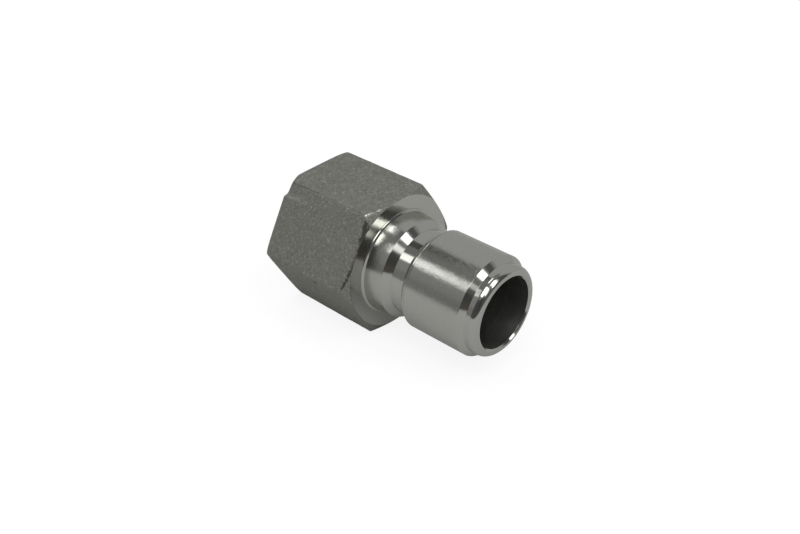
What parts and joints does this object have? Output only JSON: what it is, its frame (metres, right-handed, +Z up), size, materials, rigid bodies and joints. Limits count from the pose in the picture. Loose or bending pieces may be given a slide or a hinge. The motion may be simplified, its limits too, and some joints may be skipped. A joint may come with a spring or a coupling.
{
  "type": "quick connect fitting",
  "caption": "Straight-through male quick connect plug: cast hexagon with a female taper pipe thread, collar, locking groove, turned barrel and rounded open nose.",
  "frame": {"origin": "centre of the hexagon's back face, on the bore axis, at the thread's mouth", "axes": "+X along the bore axis from the thread's mouth to the plug's tip, +Z up and square to the hexagon's upper flat"},
  "size_m": [0.048, 0.031, 0.027],
  "materials": {
    "stainless_steel": "matte blasted casting on the hexagon, bright turned surfaces on the plug end and inside the thread"
  },
  "bodies": {
    "root": {"fitting_body": "stainless_steel"}
  },
  "joints": []
}
